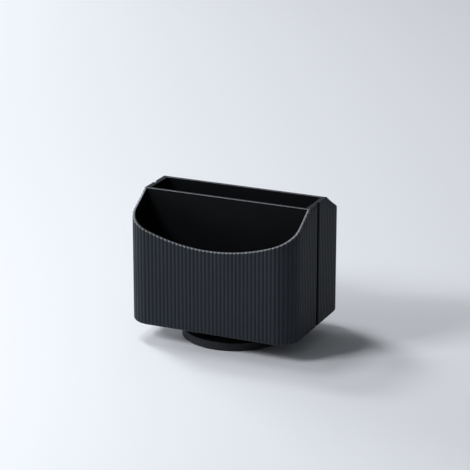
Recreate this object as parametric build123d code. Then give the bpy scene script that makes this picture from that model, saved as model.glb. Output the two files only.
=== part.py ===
from build123d import *
import math
import os

# A desk organizer that turns on a round foot. Millimetres, Z up, X across the wide front,
# -Y towards the user. The origin is on the desk, on the turning axis.

# Outer body, measured over the crests of its ribs
body_width = 185.0
body_depth = 136.0
body_height = 133.5
corner_radius = 22.5
bottom_rounding = 4.0
# Free height between the desk and the underside of the body
body_lift = 20.0

# Reeded outer wall of the two shells
rib_pitch = 4.25
rib_height = 0.8
shell_wall = 2.2
shell_floor = 2.8
# Lowest point of each pocket's rim, above the underside of the body
rim_low = 90.4
# Shadow gap between the two shells, half-way along each side
seam_width = 5.6

# Middle bin between the two pockets
bin_depth = 46.0
bin_wall = 2.3
divider_wall = 3.0
flange_thickness = 2.0
bin_floor = 2.4

# Clearance between moulded pieces that slip into each other
slip_gap = 0.2
# How far a cut runs past the faces that it cuts
past = 1.0

# Snap tabs of the shells and the windows that they catch in
tab_width = 8.0
tab_height = 4.0
tab_from_middle = 12.0
tab_from_top = 28.0
tab_from_bottom = 45.0
tab_short = 0.5
window_margin = 0.3

# Pivot through the middle of the foot
pivot_radius = 3.0
pivot_gap = 0.05
pivot_head_radius = 5.2
pivot_head = 2.8
pivot_head_recess = 1.1
pivot_socket = 4.0
pivot_socket_depth = 1.8
pivot_past_nut = 1.5
bush_wall = 1.5
bush_flange_radius = 7.0
bush_flange = 1.0
bush_seat_gap = 0.05
end_play = 0.1
thrust_washer_radius = 6.0
thrust_washer = 1.0
counterbore_gap = 0.6
wave_washer_radius = 6.2
wave_washer = 1.0
nut_across_flats = 10.0
nut_height = 5.0
nut_chamfer = 0.6

# Ball bearing between the foot and the turning plate
ball_radius = 2.5
ball_count = 18
ball_circle = 32.2
ball_gap = 0.2
cage_thickness = 2.0
cage_float = 0.5
cage_gap = 0.15
cage_rim = 0.95
race_web = 1.0
race_land = 0.85
race_seat = 1.0
race_seat_gap = 0.1

# Foot
foot_radius = 55.5
foot_ground_gap = 0.5
foot_edge = 8.3
foot_edge_rounding = 1.0
foot_taper = 0.7
foot_top = 9.6
foot_shoulder = 0.7
foot_skin = 2.3
foot_skirt = 3.0
foot_hub_wall = 3.4
foot_rib = 1.8
foot_rib_count = 6
lip_clearance = 1.0
lip_wall = 1.8
lip_cover = 0.4
pad_count = 6
pad_from_edge = 10.5
pad_radius = 6.0
pad_thickness = 2.0
pad_boss_wall = 1.4
pad_gap = 0.1

# Turning plate under the body
carrier_flange = 3.0
carrier_neck_wall = 1.6
carrier_hub_radius = 9.0
carrier_hub_drop = 1.7
carrier_rim = 1.9
nut_pocket_radius = 15.0
nut_pocket_margin = 1.0

# Screws that hold the turning plate and both shells to the middle bin
screw_angle = 18.4
screw_from_neck = 1.1
screw_radius = 1.45
screw_bite = 6.2
screw_head_radius = 3.0
screw_head = 2.0
screw_play = 0.25
screw_thread_gap = 0.05
screw_slot = 0.9
screw_slot_reach = 1.8
screw_slot_depth = 1.1
boss_radius = 3.6
boss_hole_extra = 0.6
boss_roof = 0.4

# Places in plan that follow from the sizes above
flat_half = body_width / 2 - corner_radius
corner_length = corner_radius * math.pi / 2
side_station = flat_half + corner_length
side_flat = body_depth / 2 - corner_radius
wall_inset = rib_height + shell_wall
seam_station = side_station + side_flat - seam_width / 2
rim_station = side_station + side_flat - bin_depth / 2
bin_half = body_width / 2 - wall_inset - slip_gap

# Radii that follow
race_groove = ball_radius + ball_gap
race_to_ball_centre = cage_thickness / 2 + cage_float
race_thickness = race_groove - race_to_ball_centre + race_web
race_half_width = math.sqrt(race_groove**2 - race_to_ball_centre**2) + race_land
race_seat_half = race_half_width + race_seat_gap
cage_half_width = ball_radius + cage_gap + cage_rim
pivot_bore = pivot_radius + pivot_gap
bush_radius = pivot_bore + bush_wall
counterbore_radius = thrust_washer_radius + counterbore_gap
foot_hub_radius = counterbore_radius + foot_hub_wall
carrier_neck_radius = ball_circle + race_seat_half + carrier_neck_wall
lip_inner_radius = carrier_neck_radius + lip_clearance
lip_outer_radius = lip_inner_radius + lip_wall
foot_shoulder_radius = lip_outer_radius + foot_shoulder
pad_circle = foot_radius - pad_from_edge
screw_circle = carrier_neck_radius + screw_head_radius + screw_from_neck
carrier_radius = screw_circle + screw_head_radius + carrier_rim
floor_opening_radius = nut_pocket_radius + nut_pocket_margin

# Heights that follow, from the desk up
foot_hub_bottom = foot_ground_gap + pivot_head_recess + pivot_head + thrust_washer + end_play
washer_top = foot_hub_bottom - end_play
pivot_head_top = washer_top - thrust_washer
lower_race_low = foot_top - race_seat
lower_race_high = lower_race_low + race_thickness
ball_height = lower_race_high + race_to_ball_centre
upper_race_low = ball_height + race_to_ball_centre
upper_race_high = upper_race_low + race_thickness
lip_top = ball_height + cage_thickness / 2 + lip_cover
carrier_bottom = upper_race_high - race_seat
hub_bottom = carrier_bottom - carrier_hub_drop
bush_top = hub_bottom - end_play
foot_hub_top = bush_top - bush_flange
flange_low = body_lift - carrier_flange
pivot_end = flange_low + wave_washer + nut_height + pivot_past_nut
floor_top = body_lift + shell_floor
screw_length = carrier_flange + shell_floor + screw_bite
boss_hole_top = floor_top + screw_bite + boss_hole_extra
bin_floor_low = boss_hole_top + boss_roof
bin_floor_top = bin_floor_low + bin_floor
body_top = body_lift + body_height
tab_lows = (body_lift + tab_from_bottom, body_top - tab_from_top - tab_height)


def on_circle(radius, count, start=0.0):
    """Evenly spaced places on a circle, in plan."""
    places = []
    for i in range(count):
        angle = math.radians(start + 360 * i / count)
        places.append((radius * math.cos(angle), radius * math.sin(angle)))
    return places


screw_places = on_circle(screw_circle, 2, screw_angle) + on_circle(screw_circle, 2, -screw_angle)


def station(s, inset=0.0):
    """Point on the body's plan outline, s along it from the middle of the front."""
    side = 1 if s >= 0 else -1
    run = abs(s)
    front = -body_depth / 2
    if run <= flat_half:
        return (side * run, front + inset)
    if run <= side_station:
        turn = (run - flat_half) / corner_radius
        reach = corner_radius - inset
        return (
            side * (flat_half + reach * math.sin(turn)),
            front + corner_radius - reach * math.cos(turn),
        )
    return (side * (body_width / 2 - inset), front + corner_radius + run - side_station)


def rim_height(s):
    """Height of a pocket's rim: a parabola along the unrolled wall."""
    climb = body_height - rim_low
    return body_lift + rim_low + climb * (s / rim_station) ** 2


def spread(start, stop, pitch):
    """Evenly spaced stations from start to stop, about one pitch apart."""
    count = max(1, round((stop - start) / pitch))
    return [start + (stop - start) * i / count for i in range(count + 1)]


def valley_stations():
    """Where two ribs meet, from one seam round the front to the other."""
    marks = [-seam_station, -side_station, -flat_half, flat_half, side_station, seam_station]
    valleys = [marks[0]]
    for a, b in zip(marks, marks[1:]):
        valleys += spread(a, b, rib_pitch)[1:]
    return valleys


def reeded_edges():
    """One convex arc per rib."""
    valleys = valley_stations()
    arcs = []
    for a, b in zip(valleys, valleys[1:]):
        arcs.append(
            ThreePointArc(station(a, rib_height), station((a + b) / 2), station(b, rib_height))
        )
    return arcs


def plain_edges(inset):
    """The smooth outline at an inset, from one seam round the front to the other."""
    corner_middle = flat_half + corner_length / 2
    return [
        Line(station(-seam_station, inset), station(-side_station, inset)),
        ThreePointArc(
            station(-side_station, inset),
            station(-corner_middle, inset),
            station(-flat_half, inset),
        ),
        Line(station(-flat_half, inset), station(flat_half, inset)),
        ThreePointArc(
            station(flat_half, inset), station(corner_middle, inset), station(side_station, inset)
        ),
        Line(station(side_station, inset), station(seam_station, inset)),
    ]


def prism(edges, low, high):
    """Upright solid over a closed outline."""
    outline = Face(Wire(edges))
    if outline.normal_at().Z < 0:
        outline = -outline
    return Solid.extrude(outline, Vector(0, 0, high - low)).moved(Location((0, 0, low)))


def disc(radius, low, high, place=(0, 0)):
    """Upright cylinder between two heights."""
    return Solid.make_cylinder(radius, high - low, Plane((place[0], place[1], low)))


def block(x_range, y_range, z_range):
    """Box between two corners, whichever way round they are given."""
    ranges = [sorted(r) for r in (x_range, y_range, z_range)]
    size = [high - low for low, high in ranges]
    return Solid.make_box(*size, Plane([low for low, high in ranges]))


def turned(points):
    """Solid of revolution from (radius, height) points."""
    outline = make_face(Plane.XZ * Polyline(*points, close=True))
    return revolve(outline, Axis.Z)


def ring(outer, inner, low, high):
    """Flat ring round the turning axis."""
    return turned([(inner, low), (outer, low), (outer, high), (inner, high)])


def hexagon(across_flats, low, high):
    """Upright hexagonal prism on the turning axis."""
    outline = RegularPolygon(across_flats / 2, 6, major_radius=False)
    return extrude(Plane((0, 0, low)) * outline, high - low)


def rounded_body():
    """Plain body a little larger than the crests, with the rounded bottom edge."""
    margin = rib_height / 2
    outline = RectangleRounded(
        body_width + 2 * margin, body_depth + 2 * margin, corner_radius + margin
    )
    plain = extrude(Plane((0, 0, body_lift)) * outline, body_height + margin)
    bottom = plain.edges().group_by(Axis.Z)[0]
    return fillet(bottom, bottom_rounding + margin)


def rim_cutter():
    """Everything above the curved rim of a pocket."""
    outer_inset = -past
    inner_inset = wall_inset + past
    steps = spread(-rim_station, rim_station, 2 * rib_pitch)
    outer = Spline(*[(*station(s, outer_inset), rim_height(s)) for s in steps])
    inner = Spline(*[(*station(s, inner_inset), rim_height(s)) for s in steps])
    rim = Face.make_surface_from_curves(outer.edge(), inner.edge())
    return Solid.extrude(rim, Vector(0, 0, body_height))


def snap_tabs():
    """Tabs inside the front shell's side walls, that catch in the middle bin."""
    tip = bin_half - bin_wall + tab_short
    root = body_width / 2 - wall_inset + shell_wall / 2
    near = -tab_from_middle - tab_width / 2
    tabs = []
    for side in (-1, 1):
        for low in tab_lows:
            reach = (side * tip, side * root)
            tabs.append(block(reach, (near, near + tab_width), (low, low + tab_height)))
    return tabs


def pocket_shell():
    """The front shell: a reeded wall round three sides, and the pocket's floor."""
    ends = [
        Line(station(seam_station, rib_height), station(seam_station, wall_inset)),
        Line(station(-seam_station, wall_inset), station(-seam_station, rib_height)),
    ]
    shell = prism(reeded_edges() + plain_edges(wall_inset) + ends, body_lift, body_top)

    # The floor reaches half-way into the wall
    floor_inset = rib_height + shell_wall / 2
    back = Line(station(seam_station, floor_inset), station(-seam_station, floor_inset))
    shell += prism(plain_edges(floor_inset) + [back], body_lift, floor_top)
    shell = shell & rounded_body()
    shell -= rim_cutter()

    # Step under the middle bin's flange
    flange_end = -bin_depth / 2 - slip_gap
    step_low = body_top - flange_thickness - slip_gap
    shell -= block((-body_width, body_width), (flange_end, 0), (step_low, body_top + past))
    for tab in snap_tabs():
        shell += tab

    # Room for the pivot nut, and the holes for the screws
    shell -= disc(floor_opening_radius, body_lift - past, floor_top + past)
    for place in screw_places:
        shell -= disc(screw_radius + screw_play, body_lift - past, floor_top + past, place)
    return shell


def middle_bin():
    """Box between the pockets, with the two tall dividers and a flange on each side."""
    half_depth = bin_depth / 2
    inner_x = (bin_wall - bin_half, bin_half - bin_wall)
    inner_y = (divider_wall - half_depth, half_depth - divider_wall)
    body = block((-bin_half, bin_half), (-half_depth, half_depth), (floor_top, body_top))
    body -= block(inner_x, inner_y, (bin_floor_top, body_top + past))
    body -= block(inner_x, inner_y, (floor_top - past, bin_floor_low))
    flange = (body_top - flange_thickness, body_top)
    for side in (-1, 1):
        reach = (side * (bin_half - bin_wall / 2), side * body_width / 2)
        body += block(reach, (-half_depth, half_depth), flange)

    # Windows for the snap tabs
    half_window = tab_width / 2 + window_margin
    for side in (-1, 1):
        through = (side * (bin_half - bin_wall - past), side * (bin_half + past))
        for middle in (-tab_from_middle, tab_from_middle):
            for tab_low in tab_lows:
                low = tab_low - window_margin
                high = tab_low + tab_height + window_margin
                body -= block(through, (middle - half_window, middle + half_window), (low, high))

    # Screw bosses under the floor
    for place in screw_places:
        body += disc(boss_radius, floor_top, bin_floor_low + bin_floor / 2, place)
    for place in screw_places:
        body -= disc(screw_radius + screw_thread_gap, floor_top - past, boss_hole_top, place)
    return body


def carrier():
    """Turning plate: a flange for the screws, and a neck that holds the upper race."""
    seat_in = ball_circle - race_seat_half
    seat_out = ball_circle + race_seat_half
    plate = turned(
        [
            (pivot_bore, hub_bottom),
            (carrier_hub_radius, hub_bottom),
            (carrier_hub_radius, carrier_bottom),
            (seat_in, carrier_bottom),
            (seat_in, upper_race_high),
            (seat_out, upper_race_high),
            (seat_out, carrier_bottom),
            (carrier_neck_radius, carrier_bottom),
            (carrier_neck_radius, flange_low),
            (carrier_radius, flange_low),
            (carrier_radius, body_lift),
            (nut_pocket_radius, body_lift),
            (nut_pocket_radius, flange_low),
            (pivot_bore, flange_low),
        ]
    )
    for place in screw_places:
        plate -= disc(screw_radius + screw_play, flange_low - past, body_lift + past, place)
    return plate


def race(low, high):
    """Steel ring with a ball groove in the face towards the balls."""
    blank = ring(ball_circle + race_half_width, ball_circle - race_half_width, low, high)
    return blank - Solid.make_torus(ball_circle, race_groove, Plane((0, 0, ball_height)))


def ball_ring_cage():
    """Flat ring that keeps the balls apart."""
    low = ball_height - cage_thickness / 2
    high = ball_height + cage_thickness / 2
    cage = ring(ball_circle + cage_half_width, ball_circle - cage_half_width, low, high)
    for place in on_circle(ball_circle, ball_count):
        cage -= disc(ball_radius + cage_gap, low - past, high + past, place)
    return cage


def bearing_balls():
    """The steel balls, each its own solid."""
    balls = []
    for x, y in on_circle(ball_circle, ball_count):
        balls.append(Solid.make_sphere(ball_radius, Plane((x, y, ball_height))))
    return balls


def foot_hollow():
    """The space under the foot's skin, between its ribs, its hub and the bosses of the pads."""
    low = foot_ground_gap
    skirt_in = foot_radius - foot_skirt
    race_roof = lower_race_low - foot_skin
    slope_roof = foot_top - foot_skin
    hollow = turned(
        [
            (foot_hub_radius, low - past),
            (skirt_in, low - past),
            (skirt_in, low + foot_edge - foot_skin),
            (foot_shoulder_radius, slope_roof),
            (lip_inner_radius, slope_roof),
            (lip_inner_radius, race_roof),
            (foot_hub_radius, race_roof),
        ]
    )
    for place in on_circle(pad_circle, pad_count):
        hollow -= disc(pad_radius + pad_boss_wall, low - 2 * past, foot_top, place)
    length = (foot_hub_radius / 2, skirt_in + foot_skirt / 2)
    for i in range(foot_rib_count):
        rib = block(length, (-foot_rib / 2, foot_rib / 2), (low, foot_top))
        hollow -= rib.rotate(Axis.Z, 360 * (i + 0.5) / foot_rib_count)
    return hollow


def foot():
    """Round foot: a hollow disc, its side slightly tapered, with a lip round the bearing."""
    low = foot_ground_gap
    edge_top = low + foot_edge
    seat_in = ball_circle - race_seat_half
    seat_out = ball_circle + race_seat_half
    body = turned(
        [
            (0, low),
            (foot_radius, low),
            (foot_radius - foot_taper, edge_top),
            (foot_shoulder_radius, foot_top),
            (lip_outer_radius, foot_top),
            (lip_outer_radius, lip_top),
            (lip_inner_radius, lip_top),
            (lip_inner_radius, foot_top),
            (seat_out, foot_top),
            (seat_out, lower_race_low),
            (seat_in, lower_race_low),
            (seat_in, foot_top),
            (foot_hub_radius, foot_top),
            (foot_hub_radius, foot_hub_top),
            (0, foot_hub_top),
        ]
    )
    side_edges = body.edges().filter_by(GeomType.CIRCLE).sort_by(SortBy.RADIUS)[-2:]
    body = fillet(side_edges.sort_by(Axis.Z)[-1], foot_edge_rounding)
    body -= foot_hollow()

    # Pivot bore, its counterbore, and the seats of the pads
    body -= disc(bush_radius + bush_seat_gap, low - past, foot_hub_top + past)
    body -= disc(counterbore_radius, low - past, foot_hub_bottom)
    for place in on_circle(pad_circle, pad_count):
        body -= disc(pad_radius + pad_gap, low - past, pad_thickness, place)
    return body


def foot_pads():
    """Rubber pads, glued in their seats and standing proud by the ground gap."""
    return [disc(pad_radius, 0, pad_thickness, place) for place in on_circle(pad_circle, pad_count)]


def bush():
    """Flanged plastic bush in the foot's hub."""
    return turned(
        [
            (pivot_bore, foot_hub_bottom),
            (bush_radius, foot_hub_bottom),
            (bush_radius, foot_hub_top),
            (bush_flange_radius, foot_hub_top),
            (bush_flange_radius, bush_top),
            (pivot_bore, bush_top),
        ]
    )


def pivot_bolt():
    """Shoulder bolt from below, with a hexagon socket in its head."""
    head_low = pivot_head_top - pivot_head
    bolt = disc(pivot_head_radius, head_low, pivot_head_top)
    bolt += disc(pivot_radius, pivot_head_top, pivot_end)
    return bolt - hexagon(pivot_socket, head_low - past, head_low + pivot_socket_depth)


def pivot_nut():
    """Hexagon nut with its corners turned off."""
    low = flange_low + wave_washer
    high = low + nut_height
    corner = nut_across_flats / math.sqrt(3)
    turned_off = turned(
        [
            (0, low),
            (corner - nut_chamfer, low),
            (corner, low + nut_chamfer),
            (corner, high - nut_chamfer),
            (corner - nut_chamfer, high),
            (0, high),
        ]
    )
    nut = hexagon(nut_across_flats, low, high) & turned_off
    return nut - disc(pivot_bore, low - past, high + past)


def carrier_screw(place):
    """Pan-head screw from below, with a cross in its head."""
    x, y = place
    head_low = flange_low - screw_head
    screw = disc(screw_head_radius, head_low, flange_low, place)
    screw += disc(screw_radius, flange_low, flange_low + screw_length, place)
    half = screw_slot / 2
    depth = (head_low - past, head_low + screw_slot_depth)
    for across, along in ((half, screw_slot_reach), (screw_slot_reach, half)):
        screw -= block((x - along, x + along), (y - across, y + across), depth)
    return screw


def save(name, pieces):
    """Writes one node, of one solid or several, as its own STEP file."""
    solids = []
    for piece in pieces:
        solids += piece.solids()
    node = Compound(children=solids) if len(solids) > 1 else solids[0]
    node.label = name
    export_step(node, os.path.join("parts", name + ".step"))


os.makedirs("parts", exist_ok=True)

front_shell = pocket_shell()
save("front_shell", [front_shell])
save("rear_shell", [front_shell.rotate(Axis.Z, 180)])
save("centre_bin", [middle_bin()])
save("carrier_plate", [carrier()])
save("carrier_screws", [carrier_screw(place) for place in screw_places])
save("upper_race", [race(upper_race_low, upper_race_high)])
save("lower_race", [race(lower_race_low, lower_race_high)])
save("ball_cage", [ball_ring_cage()])
save("bearing_balls", bearing_balls())
save("foot_disc", [foot()])
save("foot_pads", foot_pads())
save("pivot_bush", [bush()])
save("pivot_bolt", [pivot_bolt()])
save("pivot_nut", [pivot_nut()])
save("thrust_washer", [ring(thrust_washer_radius, pivot_bore, pivot_head_top, washer_top)])
save("wave_washer", [ring(wave_washer_radius, pivot_bore, flange_low, flange_low + wave_washer)])
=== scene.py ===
import bmesh
import bpy
import math
from mathutils import Matrix, Vector


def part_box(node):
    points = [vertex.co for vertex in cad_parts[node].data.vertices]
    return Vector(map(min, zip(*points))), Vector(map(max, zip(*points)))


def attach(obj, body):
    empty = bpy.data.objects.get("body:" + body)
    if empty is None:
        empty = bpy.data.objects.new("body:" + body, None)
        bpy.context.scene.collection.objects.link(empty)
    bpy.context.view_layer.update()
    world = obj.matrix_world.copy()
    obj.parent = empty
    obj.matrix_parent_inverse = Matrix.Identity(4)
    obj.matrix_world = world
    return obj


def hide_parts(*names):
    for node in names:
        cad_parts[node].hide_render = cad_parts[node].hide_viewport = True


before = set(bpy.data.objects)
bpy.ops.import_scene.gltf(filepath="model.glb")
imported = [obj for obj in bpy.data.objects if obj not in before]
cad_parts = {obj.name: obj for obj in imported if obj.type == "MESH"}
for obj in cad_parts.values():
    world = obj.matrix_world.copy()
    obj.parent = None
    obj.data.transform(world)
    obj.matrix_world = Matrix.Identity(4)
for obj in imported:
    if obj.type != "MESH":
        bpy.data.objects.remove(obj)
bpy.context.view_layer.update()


# Rubber pads
# Six soft discs keep the foot from sliding and from marking what it stands on. They are moulded
# in black rubber with a rounded edge, and glued into round seats under the foot.

mm = 0.001
pad_count = 6
pad_edge = 0.5 * mm
pad_sides = 48
pad_lowest, pad_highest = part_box("foot_pads")
# The pads stand on a circle, so two sides of their box give the circle and the pad
pad_spacing = math.radians(360 / pad_count)
pad_circle = (pad_highest.x - pad_highest.y) / (1 - math.sin(pad_spacing))
pad_radius = pad_highest.x - pad_circle
# Corners sharper than this stay edges, and all others are shaded as a round surface
edge_angle = math.radians(34)
# Points nearer to each other than this, in metres, are one point
same_point = 1e-7


def node(tree, kind, inputs=None, **settings):
    """Adds a node. Settings are its own, and inputs are values or the sockets that feed it."""
    made = tree.nodes.new(kind)
    for name, value in settings.items():
        setattr(made, name, value)
    for socket, value in (inputs or {}).items():
        if isinstance(value, bpy.types.NodeSocket):
            tree.links.new(value, made.inputs[socket])
        else:
            made.inputs[socket].default_value = value
    return made


def linear(colour):
    """An sRGB hex colour as the linear values that a shader takes."""
    parts = [int(colour[i : i + 2], 16) / 255 for i in (1, 3, 5)]
    return [c / 12.92 if c < 0.04045 else ((c + 0.055) / 1.055) ** 2.4 for c in parts] + [1]


def finish_of(name, roughness, **sockets):
    """A new material: its tree, its shader and the object's coordinates."""
    made = bpy.data.materials.new(name)
    made.use_nodes = True
    tree = made.node_tree
    tree.nodes.clear()
    shader = node(tree, "ShaderNodeBsdfPrincipled", {"Roughness": roughness})
    for socket, value in sockets.items():
        shader.inputs[socket.replace("_", " ")].default_value = value
    node(tree, "ShaderNodeOutputMaterial", {"Surface": shader.outputs["BSDF"]})
    return made, tree, shader, node(tree, "ShaderNodeTexCoord").outputs["Object"]


def relief(tree, shader, height, depth):
    """Bumps of a surface from a height between 0 and 1, as deep as given."""
    bump = node(tree, "ShaderNodeBump", {"Height": height, "Strength": 1, "Distance": depth})
    tree.links.new(bump.outputs["Normal"], shader.inputs["Normal"])


def grain(tree, shader, place, size, depth):
    """Fine irregular relief, of bumps of one size and depth."""
    noise = node(tree, "ShaderNodeTexNoise", {"Vector": place, "Scale": 1 / size, "Detail": 3})
    relief(tree, shader, noise.outputs["Fac"], depth)


def shades(tree, shader, place, size, first, second):
    """Slow change of colour over a surface, between two hex colours."""
    noise = node(tree, "ShaderNodeTexNoise", {"Vector": place, "Scale": 1 / size, "Detail": 2})
    mix = node(
        tree,
        "ShaderNodeMix",
        {"Factor": noise.outputs["Fac"], "A": linear(first), "B": linear(second)},
        data_type="RGBA",
    )
    tree.links.new(mix.outputs["Result"], shader.inputs["Base Color"])


def filleted(corners, steps=4):
    """Outline through (across, up, radius) corners, each rounded by its radius."""
    points = []
    for i, (across, up, radius) in enumerate(corners):
        here = Vector((across, up))
        before = (Vector(corners[i - 1][:2]) - here).normalized()
        after = (Vector(corners[(i + 1) % len(corners)][:2]) - here).normalized()
        if radius == 0:
            points.append(here)
            continue
        half = before.angle(after) / 2
        centre = here + (before + after).normalized() * radius / math.sin(half)
        start = here + before * radius / math.tan(half) - centre
        stop = here + after * radius / math.tan(half) - centre
        for k in range(steps + 1):
            points.append(centre + start.lerp(stop, k / steps).normalized() * radius)
    return points


def piece_from(name, bm):
    """An object from a bmesh, shaded smooth but for its real edges."""
    mesh = bpy.data.meshes.new(name)
    bm.to_mesh(mesh)
    bm.free()
    mesh.shade_smooth()
    mesh.set_sharp_from_angle(angle=edge_angle)
    made = bpy.data.objects.new(name, mesh)
    bpy.context.scene.collection.objects.link(made)
    return made


def turned(name, outline, around):
    """Closed solid turned from an outline of (radius, height) points."""
    bm = bmesh.new()
    rings = []
    for i in range(around):
        angle = 2 * math.pi * i / around
        cosine, sine = math.cos(angle), math.sin(angle)
        rings.append([bm.verts.new((r * cosine, r * sine, height)) for r, height in outline])
    for i, ring in enumerate(rings):
        beyond = rings[(i + 1) % around]
        for k in range(len(outline)):
            after = (k + 1) % len(outline)
            if outline[k][0] or outline[after][0]:
                bm.faces.new((ring[k], ring[after], beyond[after], beyond[k]))
    bmesh.ops.remove_doubles(bm, verts=bm.verts, dist=same_point)
    bmesh.ops.recalc_face_normals(bm, faces=bm.faces)
    return piece_from(name, bm)


def plain_mesh(obj):
    """Keeps the result of an object's modifiers as its plain mesh."""
    bpy.context.view_layer.update()
    depsgraph = bpy.context.evaluated_depsgraph_get()
    mesh = bpy.data.meshes.new_from_object(obj.evaluated_get(depsgraph))
    obj.modifiers.clear()
    obj.data = mesh
    return obj


def modelled(obj, tree, inputs):
    """Runs a geometry tree on an object and keeps the result."""
    obj.data.materials.append(inputs["Material"])
    modifier = obj.modifiers.new(tree.name, "NODES")
    modifier.node_group = tree
    for item in tree.interface.items_tree:
        if item.in_out == "INPUT" and item.name in inputs:
            modifier[item.identifier] = inputs[item.name]
    return plain_mesh(obj)


def geometry_tree(name, sockets):
    """A geometry tree with named inputs: the tree, its input node and its output node."""
    tree = bpy.data.node_groups.new(name, "GeometryNodeTree")
    tree.interface.new_socket("Geometry", in_out="INPUT", socket_type="NodeSocketGeometry")
    for label, kind in sockets.items():
        tree.interface.new_socket(label, in_out="INPUT", socket_type="NodeSocket" + kind)
    tree.interface.new_socket("Geometry", in_out="OUTPUT", socket_type="NodeSocketGeometry")
    return tree, node(tree, "NodeGroupInput"), node(tree, "NodeGroupOutput")


def finished(tree, geometry, given, result):
    """Ends a geometry tree: real copies with their material."""
    real = node(tree, "GeometryNodeRealizeInstances", {"Geometry": geometry})
    coated = node(
        tree,
        "GeometryNodeSetMaterial",
        {"Geometry": real.outputs["Geometry"], "Material": given.outputs["Material"]},
    )
    tree.links.new(coated.outputs["Geometry"], result.inputs["Geometry"])


def fitted(piece, body, slot, *nodes):
    """Says where a finished piece belongs: its body and the nodes it stands for. Its finish, the
    slot, is not used.
    """
    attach(piece, body)
    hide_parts(*nodes)


# Copies of one shape round the turning axis
ring_tree, given, result = geometry_tree(
    "Ring of copies", {"Count": "Int", "Radius": "Float", "Material": "Material"}
)
circle = node(
    ring_tree,
    "GeometryNodeMeshCircle",
    {"Vertices": given.outputs["Count"], "Radius": given.outputs["Radius"]},
)
copies = node(
    ring_tree,
    "GeometryNodeInstanceOnPoints",
    {"Points": circle.outputs["Mesh"], "Instance": given.outputs["Geometry"]},
)
finished(ring_tree, copies.outputs["Instances"], given, result)

# Moulded nitrile rubber: nearly black and dull. Its skin is drawn coarser than the real one,
# which is too fine to show
rubber, tree, shader, place = finish_of("moulded_rubber", 0.78, IOR=1.5)
shades(tree, shader, place, 6 * mm, "#16171a", "#1d1e21")
grain(tree, shader, place, 0.5 * mm, 0.03 * mm)

pad_outline = filleted(
    [
        (0, pad_lowest.z, 0),
        (pad_radius, pad_lowest.z, pad_edge),
        (pad_radius, pad_highest.z, pad_edge),
        (0, pad_highest.z, 0),
    ]
)
pads = turned("rubber_pads", pad_outline, pad_sides)
modelled(pads, ring_tree, {"Count": pad_count, "Radius": pad_circle, "Material": rubber})
fitted(pads, "foot", "pad_rubber", "foot_pads")


# Foot
# A round disc of black ABS, hollow and ribbed underneath, with a lip round the bearing on top.
# It is moulded in one shot, so its edges are a little round and its skin is lightly etched.

foot_edge = 0.35 * mm
# A rounded edge has this many steps
edge_steps = 3
# Points of a construction mesh nearer to each other than this, in metres, are merged
weld = 1e-6
# Faces that turn by less than this are one flat side
flat_within = math.radians(0.3)
# Rounding leaves no edge shorter than this, in metres
shortest_edge = 1e-5


def merge_flats(bm):
    """Joins the triangles of each flat side into one face."""
    bmesh.ops.dissolve_limit(bm, angle_limit=flat_within, verts=bm.verts, edges=bm.edges)


def softened(name, made_from, edge, *materials, carve=None):
    """A copy of a construction piece with its sharp edges rounded, as the real ones are. It is
    carved first where a function for that is given."""
    bm = bmesh.new()
    bm.from_mesh(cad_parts[made_from].data)
    bmesh.ops.remove_doubles(bm, verts=bm.verts, dist=weld)
    merge_flats(bm)
    if carve:
        carve(bm)
        merge_flats(bm)
    made = piece_from(name, bm)
    made.data.materials.clear()
    for material in materials:
        made.data.materials.append(material)
    bevel = made.modifiers.new("edges", "BEVEL")
    bevel.width = edge
    bevel.segments = edge_steps
    bevel.limit_method = "ANGLE"
    bevel.angle_limit = edge_angle
    made.modifiers.new("joined", "WELD").merge_threshold = shortest_edge
    made.modifiers.new("flats", "WEIGHTED_NORMAL").keep_sharp = True
    return plain_mesh(made)


# Black ABS with a light etch: a soft sheen on the rounded edges. The real etch is finer than a
# tenth of a millimetre, and drawn coarser here to show
foot_abs, tree, shader, place = finish_of("etched_abs", 0.5, IOR=1.53, Specular_IOR_Level=0.2)
shades(tree, shader, place, 25 * mm, "#1b1d20", "#1f2125")
grain(tree, shader, place, 0.7 * mm, 0.02 * mm)

foot = softened("foot_moulding", "foot_disc", foot_edge, foot_abs)
fitted(foot, "foot", "foot_plastic", "foot_disc")


# Bearing races
# Two equal steel rings with a ground groove for the balls. They are pressed from strip and
# hardened, one set in the foot and one in the turning plate.

race_edge = 0.15 * mm


def turning_marks(tree, shader, place, pitch, depth):
    """Fine rings round the turning axis, as a lathe or a grinding wheel leaves them."""
    parts = node(tree, "ShaderNodeSeparateXYZ", {"Vector": place})
    level = node(
        tree, "ShaderNodeCombineXYZ", {"X": parts.outputs["X"], "Y": parts.outputs["Y"]}
    )
    radius = node(tree, "ShaderNodeVectorMath", {0: level.outputs[0]}, operation="LENGTH")
    turns = node(
        tree,
        "ShaderNodeMath",
        {0: radius.outputs["Value"], 1: 2 * math.pi / pitch},
        operation="MULTIPLY",
    )
    wave = node(tree, "ShaderNodeMath", {0: turns.outputs[0]}, operation="SINE")
    relief(tree, shader, wave.outputs[0], depth)


# Hardened bearing steel: bright grey, with grinding rings, coarser than real ones to show
race_steel, tree, shader, place = finish_of("ground_bearing_steel", 0.24, Metallic=1.0)
shades(tree, shader, place, 8 * mm, "#b4b5b7", "#c2c3c5")
turning_marks(tree, shader, place, 0.4 * mm, 0.004 * mm)

for name in ("lower_race", "upper_race"):
    race = softened("steel_" + name, name, race_edge, race_steel)
    fitted(race, "foot" if name == "lower_race" else "organizer", "race_steel", name)


# Balls and cage
# Eighteen hardened steel balls run between the races. A flat acetal ring keeps them apart and
# floats between the races, carried round by the balls.

ball_count = 18
ball_steps = 14
ball_sides = 28
cage_edge = 0.2 * mm
ball_lowest, ball_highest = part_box("bearing_balls")
ball_radius = (ball_highest.z - ball_lowest.z) / 2
ball_circle = ball_highest.x - ball_radius
ball_height = (ball_highest.z + ball_lowest.z) / 2


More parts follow.
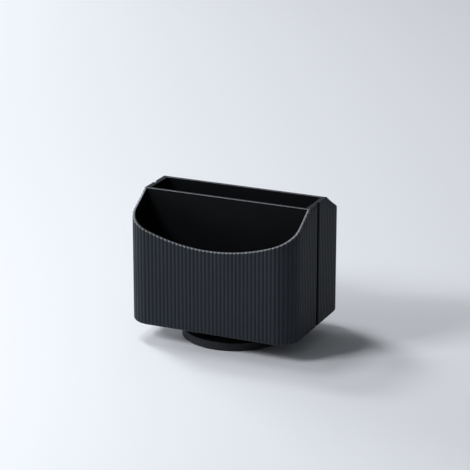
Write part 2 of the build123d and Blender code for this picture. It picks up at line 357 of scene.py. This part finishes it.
def dull_spots(tree, shader, place, size, least, most):
    """Slow change of roughness over a surface, from a noise that mostly lies in its middle."""
    noise = node(tree, "ShaderNodeTexNoise", {"Vector": place, "Scale": 1 / size, "Detail": 2})
    values = {"Value": noise.outputs["Fac"], "From Min": 0.3, "From Max": 0.7}
    span = node(tree, "ShaderNodeMapRange", {**values, "To Min": least, "To Max": most})
    tree.links.new(span.outputs["Result"], shader.inputs["Roughness"])


# Lapped balls: almost a mirror, with the faintest haze
ball_steel, tree, shader, place = finish_of("polished_ball_steel", 0.07, Metallic=1.0)
shades(tree, shader, place, 4 * mm, "#cfd0d3", "#d6d7d9")
dull_spots(tree, shader, place, 2 * mm, 0.05, 0.1)

# Natural acetal: waxy white, with the slightly uneven skin of a thin moulding
acetal, tree, shader, place = finish_of("moulded_acetal", 0.34, IOR=1.48)
shades(tree, shader, place, 5 * mm, "#e6e5df", "#dedcd5")
grain(tree, shader, place, 0.8 * mm, 0.01 * mm)

ball_outline = [(0, ball_lowest.z)]
for k in range(1, ball_steps):
    angle = math.pi * k / ball_steps
    ball_outline.append(
        (ball_radius * math.sin(angle), ball_height - ball_radius * math.cos(angle))
    )
ball_outline.append((0, ball_highest.z))
balls = turned("steel_balls", ball_outline, ball_sides)
modelled(balls, ring_tree, {"Count": ball_count, "Radius": ball_circle, "Material": ball_steel})
fitted(balls, "ball_bearing", "ball_steel", "bearing_balls")

cage = softened("acetal_cage", "ball_cage", cage_edge, acetal)
fitted(cage, "ball_bearing", "acetal", "ball_cage")


# Turning plate
# It carries the whole body on the bearing: a flange that is screwed up against the shells, and
# a neck with a seat for the upper race. Moulded in black glass-filled nylon for stiffness.

plate_edge = 0.3 * mm

# Glass-filled nylon: black, duller than ABS, with a slightly mottled skin from the fibres,
# drawn coarser than the fibres are to show
nylon, tree, shader, place = finish_of("glass_filled_nylon", 0.58, IOR=1.53)
shades(tree, shader, place, 4 * mm, "#191a1c", "#222326")
grain(tree, shader, place, 0.6 * mm, 0.03 * mm)

plate = softened("turning_plate", "carrier_plate", plate_edge, nylon)
fitted(plate, "organizer", "body_plastic", "carrier_plate")


# Plate screws
# Four pan-head screws, cold headed in steel and zinc plated. They go up through the turning
# plate and the shells' floors into the bosses of the middle bin, with a cross for the driver.

screw_head = 3.0 * mm
screw_head_height = 2.0 * mm
screw_head_edge = 0.9 * mm
screw_head_rim = 0.15 * mm
screw_shank = 1.45 * mm
screw_tip = 0.7 * mm
screw_point = 1.5 * mm
screw_sides = 40
thread_pitch = 1.1 * mm
thread_depth = 0.25 * mm
thread_flank = 0.35 * thread_pitch
cross_width = 0.9 * mm
cross_length = 3.6 * mm
cross_depth = 1.1 * mm
screw_lowest, screw_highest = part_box("carrier_screws")
# The screws' places follow from their box, which their heads reach
screw_x = screw_highest.x - screw_head
screw_y = screw_highest.y - screw_head
under_head = screw_lowest.z + screw_head_height

# Bright zinc plate: silver with a cold tint. Its crystals are drawn coarser than real to show
zinc, tree, shader, place = finish_of("zinc_plated_steel", 0.34, Metallic=1.0)
shades(tree, shader, place, 3 * mm, "#b9bcc2", "#c8cacd")
grain(tree, shader, place, 0.4 * mm, 0.01 * mm)

# Thread ridges up the shank, then the pointed end
screw_outline = filleted(
    [
        (0, screw_lowest.z, 0),
        (screw_head, screw_lowest.z, screw_head_edge),
        (screw_head, under_head, screw_head_rim),
        (screw_shank, under_head, 0),
    ]
)
thread_top = screw_highest.z - screw_point
turns = int((thread_top - under_head) / thread_pitch)
for k in range(1, turns):
    crest = under_head + k * thread_pitch
    screw_outline += [
        (screw_shank - thread_depth, crest - thread_flank),
        (screw_shank, crest),
        (screw_shank - thread_depth, crest + thread_flank),
    ]
screw_outline += [(screw_tip, screw_highest.z), (0, screw_highest.z)]
screw = turned("pan_head_screws", screw_outline, screw_sides)

# One screw gets its cross, then stands at the four corners of a rectangle
screw_tree, given, result = geometry_tree(
    "Screws at four corners",
    {
        "Across": "Float",
        "Along": "Float",
        "Cross Width": "Float",
        "Cross Length": "Float",
        "Cross Height": "Float",
        "Underside": "Float",
        "Material": "Material",
    },
)
arms = []
for x_size, y_size in (("Cross Length", "Cross Width"), ("Cross Width", "Cross Length")):
    sizes = {
        "X": given.outputs[x_size],
        "Y": given.outputs[y_size],
        "Z": given.outputs["Cross Height"],
    }
    size = node(screw_tree, "ShaderNodeCombineXYZ", sizes)
    arms.append(node(screw_tree, "GeometryNodeMeshCube", {"Size": size.outputs[0]}))
both_arms = node(screw_tree, "GeometryNodeJoinGeometry", {0: arms[0].outputs["Mesh"]})
screw_tree.links.new(arms[1].outputs["Mesh"], both_arms.inputs[0])
underneath = node(screw_tree, "ShaderNodeCombineXYZ", {"Z": given.outputs["Underside"]})
lowered = node(
    screw_tree,
    "GeometryNodeTransform",
    {"Geometry": both_arms.outputs[0], "Translation": underneath.outputs[0]},
)
cut = node(
    screw_tree,
    "GeometryNodeMeshBoolean",
    {
        "Mesh 1": given.outputs["Geometry"],
        "Mesh 2": lowered.outputs["Geometry"],
        "Self Intersection": True,
    },
    solver="EXACT",
    operation="DIFFERENCE",
)
corners = node(
    screw_tree,
    "GeometryNodeMeshGrid",
    {
        "Size X": given.outputs["Across"],
        "Size Y": given.outputs["Along"],
        "Vertices X": 2,
        "Vertices Y": 2,
    },
)
copies = node(
    screw_tree,
    "GeometryNodeInstanceOnPoints",
    {"Points": corners.outputs["Mesh"], "Instance": cut.outputs["Mesh"]},
)
finished(screw_tree, copies.outputs["Instances"], given, result)
modelled(
    screw,
    screw_tree,
    {
        "Across": 2 * screw_x,
        "Along": 2 * screw_y,
        "Cross Width": cross_width,
        "Cross Length": cross_length,
        "Cross Height": 2 * cross_depth,
        "Underside": screw_lowest.z,
        "Material": zinc,
    },
)
screw.data.set_sharp_from_angle(angle=edge_angle)
fitted(screw, "organizer", "screw_steel", "carrier_screws")


# Body shells
# Two equal mouldings stand back to back: a reeded wall round three sides of a pocket, with a
# rim that dips in front, and the pocket's floor. Charcoal ABS from a spark-eroded mould.

shell_low, shell_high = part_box("front_shell")
bin_low, bin_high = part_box("centre_bin")
half_width = shell_high.x
half_depth = -shell_low.y
underside = shell_low.z
corner_radius = 22.5 * mm
rib_pitch = 4.25 * mm
rib_height = 0.8 * mm
shell_wall = 2.2 * mm
shell_floor = 2.8 * mm
bottom_rounding = 4.4 * mm
# The rounding starts this far outside the crests, so the ribs run out in it
rounding_margin = 0.4 * mm
rim_low = 90.4 * mm
rim_outer_edge = 1.2 * mm
rim_inner_edge = 0.5 * mm
end_edge = 0.35 * mm
pocket_fillet = 1.5 * mm
slip_gap = 0.2 * mm
flange_thickness = 2.0 * mm
nut_opening = 16.0 * mm
screw_hole = 1.7 * mm
# How finely the wall is divided: steps over a rib, rows up the wall, steps round its edges,
# columns in its rounded ends and sides of its openings
rib_steps = 8
wall_rows = 8
inner_steps = 4
outer_steps = 6
end_columns = (0.3, 1.0)
opening_sides = 48
hole_sides = 24
# Snap tabs inside the side walls
tab_width = 8.0 * mm
tab_height = 4.0 * mm
tab_from_middle = 12.0 * mm
tab_from_top = 28.0 * mm
tab_from_bottom = 45.0 * mm
tab_reach = 2.0 * mm
# Faces of the shell: reeded outside, rim with a painted highlight, and smooth inside with painted
# shade
OUTSIDE, RIM_PAINTED_HIGHLIGHT, INSIDE_PAINTED_SHADE = 0, 1, 2

flat_half = half_width - corner_radius
corner_length = corner_radius * math.pi / 2
side_station = flat_half + corner_length
side_flat = half_depth - corner_radius
wall_inset = rib_height + shell_wall
seam_y = shell_high.y
seam_station = side_station + side_flat + seam_y
rim_station = side_station + side_flat + bin_low.y
step_station = rim_station - slip_gap
step_slope = 0.03 * mm
step_height = bin_high.z - flange_thickness - slip_gap
floor_top = underside + shell_floor
rim_lowest = underside + rim_low
straight_top = step_height - rim_outer_edge
tab_lows = (underside + tab_from_bottom, bin_high.z - tab_from_top - tab_height)
tab_far = side_station + side_flat - tab_from_middle + tab_width / 2
tab_near = tab_far - tab_width


def on_outline(run, inset):
    """Point of the body's outline in plan, run along it from the middle of the front."""
    side = 1 if run >= 0 else -1
    along = abs(run)
    if along <= flat_half:
        return Vector((run, inset - half_depth, 0))
    if along <= side_station:
        turn = (along - flat_half) / corner_radius
        reach = corner_radius - inset
        across = flat_half + reach * math.sin(turn)
        return Vector((side * across, corner_radius - half_depth - reach * math.cos(turn), 0))
    across = half_width - inset
    return Vector((side * across, corner_radius - half_depth + along - side_station, 0))


def rim_height(run):
    """Height of a pocket's rim: a parabola along the unrolled wall."""
    return rim_lowest + (bin_high.z - rim_lowest) * (run / rim_station) ** 2


def rib_marks():
    """Where two ribs meet, from one seam round the front to the other."""
    ends = [-seam_station, -side_station, -flat_half, flat_half, side_station, seam_station]
    marks = [ends[0]]
    for a, b in zip(ends, ends[1:]):
        count = round((b - a) / rib_pitch)
        marks += [a + (b - a) * (i + 1) / count for i in range(count)]
    return marks


def columns():
    """Places along the wall: how far along it, and the share of its rib that is passed."""
    extra = [tab_near, tab_far, step_station - step_slope, step_station + step_slope]
    extra += [seam_station - end_edge * share for share in end_columns]
    extra += [-run for run in extra]
    marks = rib_marks()
    found = []
    for a, b in zip(marks, marks[1:]):
        shares = [k / rib_steps for k in range(rib_steps)]
        shares += [(run - a) / (b - a) for run in extra if a < run < b]
        found += [(a + (b - a) * share, share) for share in sorted(shares)]
    found.append((marks[-1], 1.0))
    return found


def arc(centre, radius, start, stop, steps):
    """Points on an arc, angles in degrees."""
    angles = [math.radians(start + (stop - start) * k / steps) for k in range(steps + 1)]
    return [(centre[0] + radius * math.cos(a), centre[1] + radius * math.sin(a)) for a in angles]


def wall_section(run):
    """The wall cut across, from the floor over the rim to the underside, at one place along it:
    (inset, height, room for a rib, kind of face that follows)."""
    under_flange = abs(run) > step_station
    top = step_height if under_flange else rim_height(run)
    fillet = 0 if under_flange else pocket_fillet
    outer_edge = end_edge if under_flange else rim_outer_edge
    inner_edge = end_edge if under_flange else rim_inner_edge
    # Rounded end at the seam
    left = max(0, abs(run) - (seam_station - end_edge))
    drawn_in = end_edge - math.sqrt(end_edge**2 - left**2)
    outer = rib_height + drawn_in

    # The rows follow the rim, and those of the snap tabs are level where the tabs are
    climb = min(top - rim_outer_edge, straight_top) - floor_top
    levels = [low + extra for low in tab_lows for extra in (0, tab_height)]
    inside = arc((wall_inset + fillet, floor_top + fillet), fillet, 270, 180, inner_steps)
    for level in levels:
        share = (level - floor_top) / (straight_top - floor_top)
        inside.append((wall_inset, floor_top + share * climb))
    inner_round = arc((wall_inset - inner_edge, top - inner_edge), inner_edge, 0, 90, inner_steps)
    outer_round = arc((outer + outer_edge, top - outer_edge), outer_edge, 90, 180, outer_steps)
    lowest = underside + bottom_rounding
    outside = []
    for k in range(wall_rows):
        height = floor_top + climb + (lowest - floor_top - climb) * k / wall_rows
        outside.append((outer, height))
    # The bottom rounding, with its own row where the valleys between the ribs end
    centre = (bottom_rounding - rounding_margin, lowest)
    valley_angle = 180 + math.degrees(math.acos((centre[0] - rib_height) / bottom_rounding))
    bottom = arc(centre, bottom_rounding, 180, valley_angle, outer_steps)
    bottom += arc(centre, bottom_rounding, valley_angle, 270, outer_steps)[1:]

    section = [(inset, height, 0, INSIDE_PAINTED_SHADE) for inset, height in inside]
    # The rim's paler colour, a painted highlight, runs from its flat top outwards
    rim = OUTSIDE if under_flange else RIM_PAINTED_HIGHLIGHT
    section += [(inset, height, 0, OUTSIDE) for inset, height in inner_round[:-1]]
    section.append((*inner_round[-1], 0, rim))
    section += [(inset, height, rib_height, rim) for inset, height in outer_round]
    section += [(inset, height, rib_height, OUTSIDE) for inset, height in outside]
    for inset, height in bottom:
        room = max(rib_height - inset, 0)
        section.append((max(inset, outer), height, room, OUTSIDE))
    return section


def circle_points(radius, centre, height, around, start=0.0, stop=360.0):
    """Points on a level circle or part of one."""
    count = around if stop - start == 360 else around + 1
    points = []
    for i in range(count):
        angle = math.radians(start + (stop - start) * i / around)
        across, along = radius * math.cos(angle), radius * math.sin(angle)
        points.append(Vector((centre[0] + across, centre[1] + along, height)))
    return points


def flat_face(bm, kind, *loops):
    """Fills a flat outline, with holes if more loops are given."""
    zone = bm.faces.layers.int["zone"]
    edges = []
    for loop in loops:
        apart = [v for i, v in enumerate(loop) if (v.co - loop[i - 1].co).length > same_point]
        for a, b in zip(apart, apart[1:] + apart[:1]):
            edges.append(bm.edges.get((a, b)) or bm.edges.new((a, b)))
    for part in bmesh.ops.triangle_fill(bm, edges=edges, use_beauty=True)["geom"]:
        if isinstance(part, bmesh.types.BMFace):
            part[zone] = kind


def band(bm, kind, first, second, closed):
    """Faces between two loops of as many points."""
    zone = bm.faces.layers.int["zone"]
    count = len(first)
    for i in range(count if closed else count - 1):
        after = (i + 1) % count
        bm.faces.new((first[i], first[after], second[after], second[i]))[zone] = kind


def add_tabs(bm):
    """Pushes the snap tabs out of the inside of the side walls."""
    zone = bm.faces.layers.int["zone"]
    near, far = on_outline(tab_near, 0).y, on_outline(tab_far, 0).y
    for side in (-1, 1):
        for low in tab_lows:
            found = []
            for face in bm.faces:
                middle = face.calc_center_median()
                level = low < middle.z < low + tab_height and near < middle.y < far
                if face[zone] == INSIDE_PAINTED_SHADE and level and middle.x * side > 0:
                    found.append(face)
            made = bmesh.ops.extrude_face_region(bm, geom=found)["geom"]
            bmesh.ops.delete(bm, geom=found, context="FACES")
            tips = [part for part in made if isinstance(part, bmesh.types.BMVert)]
            bmesh.ops.translate(bm, verts=tips, vec=(-side * tab_reach, 0, 0))


def plain_shell():
    """The front shell without its ribs. Each point keeps what the ribs need to know."""
    bm = bmesh.new()
    reed = bm.verts.layers.float.new("reed")
    room = bm.verts.layers.float.new("room")
    outward = bm.verts.layers.float_vector.new("outward")
    zone = bm.faces.layers.int.new("zone")
    rows = []
    for run, share in columns():
        across = (on_outline(run, 0) - on_outline(run, wall_inset)).normalized()
        row = []
        for inset, height, free, kind in wall_section(run):
            vert = bm.verts.new(on_outline(run, inset) + Vector((0, 0, height)))
            vert[reed] = share
            vert[room] = free
            vert[outward] = across
            row.append((vert, kind))
        rows.append(row)
    for a, b in zip(rows, rows[1:]):
        for k in range(len(a) - 1):
            face = bm.faces.new((a[k][0], a[k + 1][0], b[k + 1][0], b[k][0]))
            face[zone] = a[k][1]
    rows = [[vert for vert, kind in row] for row in rows]

    # Floor and underside, with the opening for the pivot nut and the holes of the screws
    half_chord = math.sqrt(nut_opening**2 - seam_y**2)
    chord_angle = math.degrees(math.atan2(-seam_y, half_chord))
    openings = []
    screw_loops = []
    for height in (floor_top, underside):
        points = circle_points(
            nut_opening, (0, 0), height, opening_sides, -chord_angle, chord_angle - 180
        )
        openings.append([bm.verts.new(p) for p in points])
        for side in (-1, 1):
            hole = circle_points(screw_hole, (side * screw_x, -screw_y), height, hole_sides)
            screw_loops.append([bm.verts.new(p) for p in hole])
    inner = [row[0] for row in rows]
    under = [row[-1] for row in rows]
    flat_face(bm, INSIDE_PAINTED_SHADE, inner + openings[0], screw_loops[0], screw_loops[1])
    flat_face(bm, OUTSIDE, under + openings[1], screw_loops[2], screw_loops[3])
    band(bm, INSIDE_PAINTED_SHADE, openings[0], openings[1], closed=False)
    band(bm, INSIDE_PAINTED_SHADE, screw_loops[0], screw_loops[2], closed=True)
    band(bm, INSIDE_PAINTED_SHADE, screw_loops[1], screw_loops[3], closed=True)

    # Ends at the seam, in the inside's darker colour: painted shade in the seam
    flat_face(bm, INSIDE_PAINTED_SHADE, rows[-1] + [openings[1][0], openings[0][0]])
    flat_face(bm, INSIDE_PAINTED_SHADE, rows[0] + [openings[1][-1], openings[0][-1]])
    bmesh.ops.remove_doubles(bm, verts=bm.verts, dist=same_point)
    bmesh.ops.dissolve_degenerate(bm, edges=bm.edges, dist=same_point / 10)
    bmesh.ops.recalc_face_normals(bm, faces=bm.faces)
    add_tabs(bm)
    return piece_from("front_shell_moulding", bm)


# Round ribs, pushed out of the smooth wall as far as there is room for them
rib_tree, given, result = geometry_tree(
    "Reeded wall", {"Rib Pitch": "Float", "Rib Height": "Float", "Material": "Material"}
)
reed = node(rib_tree, "GeometryNodeInputNamedAttribute", {"Name": "reed"})
room = node(rib_tree, "GeometryNodeInputNamedAttribute", {"Name": "room"})
outward = node(
    rib_tree, "GeometryNodeInputNamedAttribute", {"Name": "outward"}, data_type="FLOAT_VECTOR"
)

# Radius of a rib's arc from its width and height, then the arc's height where the point is.
# Each step has a name, an operation and the two names or numbers that go in
rib_values = {
    "pitch": given.outputs["Rib Pitch"],
    "height": given.outputs["Rib Height"],
    "share of the rib": reed.outputs["Attribute"],
    "room": room.outputs["Attribute"],
}
for wanted, operation, first, second in (
    ("half pitch", "MULTIPLY", "pitch", 0.5),
    ("half pitch squared", "MULTIPLY", "half pitch", "half pitch"),
    ("height squared", "MULTIPLY", "height", "height"),
    ("squares", "ADD", "half pitch squared", "height squared"),
    ("twice the height", "MULTIPLY", "height", 2.0),
    ("radius", "DIVIDE", "squares", "twice the height"),
    ("share off the crest", "SUBTRACT", "share of the rib", 0.5),
    ("off the crest", "MULTIPLY", "share off the crest", "pitch"),
    ("radius squared", "MULTIPLY", "radius", "radius"),
    ("off the crest squared", "MULTIPLY", "off the crest", "off the crest"),
    ("rise squared", "SUBTRACT", "radius squared", "off the crest squared"),
    ("rise", "SQRT", "rise squared", 0),
    ("below the crest", "SUBTRACT", "radius", "rise"),
    ("arch", "SUBTRACT", "height", "below the crest"),
    ("lift", "MINIMUM", "arch", "room"),
):
    terms = {0: rib_values.get(first, first), 1: rib_values.get(second, second)}
    step = node(rib_tree, "ShaderNodeMath", terms, operation=operation)
    rib_values[wanted] = step.outputs[0]
offset = node(
    rib_tree,
    "ShaderNodeVectorMath",
    {0: outward.outputs["Attribute"], "Scale": rib_values["lift"]},
    operation="SCALE",
)
ribbed = node(
    rib_tree,
    "GeometryNodeSetPosition",
    {"Geometry": given.outputs["Geometry"], "Offset": offset.outputs[0]},
)
finished(rib_tree, ribbed.outputs["Geometry"], given, result)

# Charcoal ABS from a spark-eroded mould: a dull sheen that shows on edges and on the ribs. The
# real texture is finer than a tenth of a millimetre, and drawn coarser here to show
abs_body, tree, shader, place = finish_of(
    "spark_eroded_abs", 0.5, IOR=1.53, Specular_IOR_Level=0.18
)
shades(tree, shader, place, 30 * mm, "#1c2127", "#20262c")
grain(tree, shader, place, 0.7 * mm, 0.02 * mm)

# The mould's texture is worn and shallow at the rims, so they are satin. Their paler colour is a
# painted highlight, and with the satin sheen they catch a soft line of light
rim_abs_painted_highlight, tree, shader, place = finish_of("satin_abs_painted_highlight", 0.44, IOR=1.53, Specular_IOR_Level=1.0)
shades(tree, shader, place, 12 * mm, "#34383e", "#3b3f45")
dull_spots(tree, shader, place, 3 * mm, 0.4, 0.48)

# Inside, the cores are etched deep and dull. Their colour is darker than outside: painted shade,
# which makes the pockets, the holes and the seam look almost black. The etch is drawn as coarse
# as outside, to show
inside_abs_painted_shade, tree, shader, place = finish_of(
    "deep_etched_abs_painted_shade", 0.8, IOR=1.53, Specular_IOR_Level=0.06
)
shades(tree, shader, place, 20 * mm, "#0d0e10", "#111214")
grain(tree, shader, place, 0.9 * mm, 0.05 * mm)

front_shell = plain_shell()
modelled(
    front_shell,
    rib_tree,
    {"Rib Pitch": rib_pitch, "Rib Height": rib_height, "Material": abs_body},
)
front_shell.data.materials.append(rim_abs_painted_highlight)
front_shell.data.materials.append(inside_abs_painted_shade)
kinds = front_shell.data.attributes["zone"].data
for face in front_shell.data.polygons:
    face.material_index = kinds[face.index].value
front_shell.data.set_sharp_from_angle(angle=edge_angle)
rear_shell = bpy.data.objects.new("rear_shell_moulding", front_shell.data.copy())
bpy.context.scene.collection.objects.link(rear_shell)
rear_shell.data.transform(Matrix.Rotation(math.pi, 4, "Z"))
fitted(front_shell, "organizer", "body_plastic", "front_shell")
fitted(rear_shell, "organizer", "body_plastic", "rear_shell")


# Middle bin
# A straight box between the two pockets. Its long walls divide them, and a flange on each side
# covers the shells' edges. It is charcoal ABS like them, with windows for their snap tabs.

bin_edge = 0.4 * mm
# The seam's groove goes this deep into a flange. Its sides lean a little, and the strip of the
# flange that is carved is wider than the groove is deep
groove_depth = 2.2 * mm
groove_slope = 0.02 * mm
carved_width = 3.0 * mm
# The rounding of the top edges lies within this depth
top_depth = 1.0 * mm
# How far a face's normal rises where it is rounded, and where it is level
rounded_rise, level_rise = 0.1, 0.99
seam_half = -seam_y


def cut_across(bm, faces, place, normal):
    """Divides faces where a plane crosses them."""
    parts = dict.fromkeys(part for face in faces for part in (face, *face.edges, *face.verts))
    bmesh.ops.bisect_plane(bm, geom=list(parts), dist=same_point, plane_co=place, plane_no=normal)


def reed_flanges(bm):
    """Carries the shells' ribs, and the seam between them, up over the sides of the flanges."""
    lowest = bin_high.z - flange_thickness - same_point
    inner = half_width - carved_width
    for side in (-1, 1):
        tops = [face for face in bm.faces if all(v.co.z > lowest for v in face.verts)]
        cut_across(bm, tops, (side * inner, 0, 0), (1, 0, 0))
    ribs = round((seam_station - side_station) / rib_pitch)
    step = (seam_station - side_station) / ribs / rib_steps
    steps = int((bin_high.y - seam_half) / step)
    cuts = [seam_half - groove_slope] + [seam_half + k * step for k in range(steps + 1)]
    for along in cuts + [-along for along in cuts]:
        outer = [
            face
            for face in bm.faces
            if all(abs(v.co.x) > inner - same_point and v.co.z > lowest for v in face.verts)
        ]
        cut_across(bm, outer, (0, along, 0), (0, 1, 0))

    radius = ((rib_pitch / 2) ** 2 + rib_height**2) / (2 * rib_height)
    for vert in bm.verts:
        if abs(vert.co.x) > half_width - same_point and vert.co.z > lowest:
            past_seam = (abs(vert.co.y) - seam_half) / (step * rib_steps)
            off_crest = (past_seam % 1 - 0.5) * rib_pitch
            inset = radius - math.sqrt(radius**2 - off_crest**2)
            if abs(vert.co.y) < seam_half - groove_slope / 2:
                inset = groove_depth
            vert.co.x -= math.copysign(inset, vert.co.x)
    bm.normal_update()


middle_bin = softened(
    "middle_bin", "centre_bin", bin_edge, abs_body, rim_abs_painted_highlight, inside_abs_painted_shade, carve=reed_flanges
)
# The bin's side walls end here, and the flanges reach beyond
inner_half = half_width - wall_inset - slip_gap
# The flat top and the reeded sides are as outside, and the rounded edges of the walls as the
# rims, with their painted highlight. All else gets the inside's darker colour, painted shade, the
# seam's groove too
for face in middle_bin.data.polygons:
    across = abs(face.center.x)
    if face.center.z > bin_high.z - top_depth and face.normal.z > rounded_rise:
        walls_edge = face.normal.z < level_rise and across < inner_half
        face.material_index = RIM_PAINTED_HIGHLIGHT if walls_edge else OUTSIDE
    elif across > inner_half and face.center.z > step_height and abs(face.center.y) > seam_half:
        face.material_index = OUTSIDE
    else:
        face.material_index = INSIDE_PAINTED_SHADE
fitted(middle_bin, "organizer", "body_plastic", "centre_bin")


# Pivot
# A shoulder bolt from below ties the body to the foot. A wave washer and a nut in the middle of
# the body set the play, and an acetal bush and washer let it turn without wear.

pivot_edge = 0.2 * mm

# Turned steel: zinc plated over turning marks, which are drawn coarser than real to show
turned_steel, tree, shader, place = finish_of("turned_zinc_steel", 0.3, Metallic=1.0)
shades(tree, shader, place, 3 * mm, "#b6b9be", "#c6c8cb")
turning_marks(tree, shader, place, 0.3 * mm, 0.006 * mm)

for name, made_from, material, slot, body in (
    ("shoulder_bolt", "pivot_bolt", turned_steel, "screw_steel", "organizer"),
    ("hexagon_nut", "pivot_nut", turned_steel, "screw_steel", "organizer"),
    ("spring_steel_washer", "wave_washer", race_steel, "race_steel", "organizer"),
    ("acetal_washer", "thrust_washer", acetal, "acetal", "organizer"),
    ("acetal_bush", "pivot_bush", acetal, "acetal", "foot"),
):
    piece = softened(name, made_from, pivot_edge, material)
    fitted(piece, body, slot, made_from)


# Floor, light and camera
# A plain pale floor in a pale room. Soft lamps stand high and low on the left, from in front
# round to behind, and the camera stands where the photograph was taken.

floor_mesh = bpy.data.meshes.new("floor")
floor_half = 6.0
floor_corners = [
    (-floor_half, -floor_half, 0),
    (floor_half, -floor_half, 0),
    (floor_half, floor_half, 0),
    (-floor_half, floor_half, 0),
]
floor_mesh.from_pydata(floor_corners, [], [(0, 1, 2, 3)])
floor = bpy.data.objects.new("floor", floor_mesh)
bpy.context.scene.collection.objects.link(floor)
floor_finish, tree, shader, place = finish_of("pale_floor", 0.9, Specular_IOR_Level=0.1)
shader.inputs["Base Color"].default_value = linear("#ebecee")
floor_mesh.materials.append(floor_finish)

world = bpy.data.worlds.new("studio")
bpy.context.scene.world = world
world.use_nodes = True
tree = world.node_tree
tree.nodes.clear()
glow = node(tree, "ShaderNodeBackground", {"Color": linear("#e4ecf2"), "Strength": 0.17})
node(tree, "ShaderNodeOutputWorld", {"Surface": glow.outputs[0]})

lamp_colour = "#f8faff"
lamps_face = Vector((0, 0, 0.08))


def direction(azimuth, elevation):
    """Unit vector from the object towards an azimuth, 0 in front, and an elevation."""
    a, e = math.radians(azimuth), math.radians(elevation)
    return Vector((math.sin(a) * math.cos(e), -math.cos(a) * math.cos(e), math.sin(e)))


def softbox(name, azimuth, elevation, distance, size, power):
    """A soft lamp that faces the middle of the object."""
    lamp = bpy.data.lights.new(name, "AREA")
    lamp.shape = "RECTANGLE"
    lamp.size, lamp.size_y = size
    lamp.energy = power
    lamp.color = linear(lamp_colour)[:3]
    made = bpy.data.objects.new(name, lamp)
    bpy.context.scene.collection.objects.link(made)
    away = direction(azimuth, elevation)
    made.location = lamps_face + away * distance
    made.visible_camera = False
    made.rotation_mode = "QUATERNION"
    made.rotation_quaternion = away.to_track_quat("Z", "Y")


# Azimuth and elevation in degrees, distance and size in metres, and power in watts
softbox("key_light", -114, 50, 4.0, (0.8, 0.8), 39)
softbox("top_light", -98, 71, 3.0, (0.6, 0.6), 18)
softbox("side_light", -116, 19, 3.0, (1.1, 0.7), 30)
softbox("back_light", -158, 24, 3.0, (1.9, 1.0), 2)
softbox("near_light", -40, 36, 1.6, (0.45, 0.45), 14)
softbox("low_light", -70, 12, 2.2, (0.8, 0.8), 17)

# The photograph's view, fitted to the body's outline
camera_data = bpy.data.cameras.new("camera")
camera = bpy.data.objects.new("camera", camera_data)
bpy.context.scene.collection.objects.link(camera)
camera_azimuth = 24.303
camera_elevation = 18.422
camera_data.lens = 167.47
camera_data.sensor_width = 36.0
camera.location = (0.88002, -1.94946, 0.81957)
camera.rotation_euler = (math.radians(90 - camera_elevation), 0, math.radians(camera_azimuth))
bpy.context.scene.camera = camera
bpy.context.scene.view_settings.view_transform = "Standard"
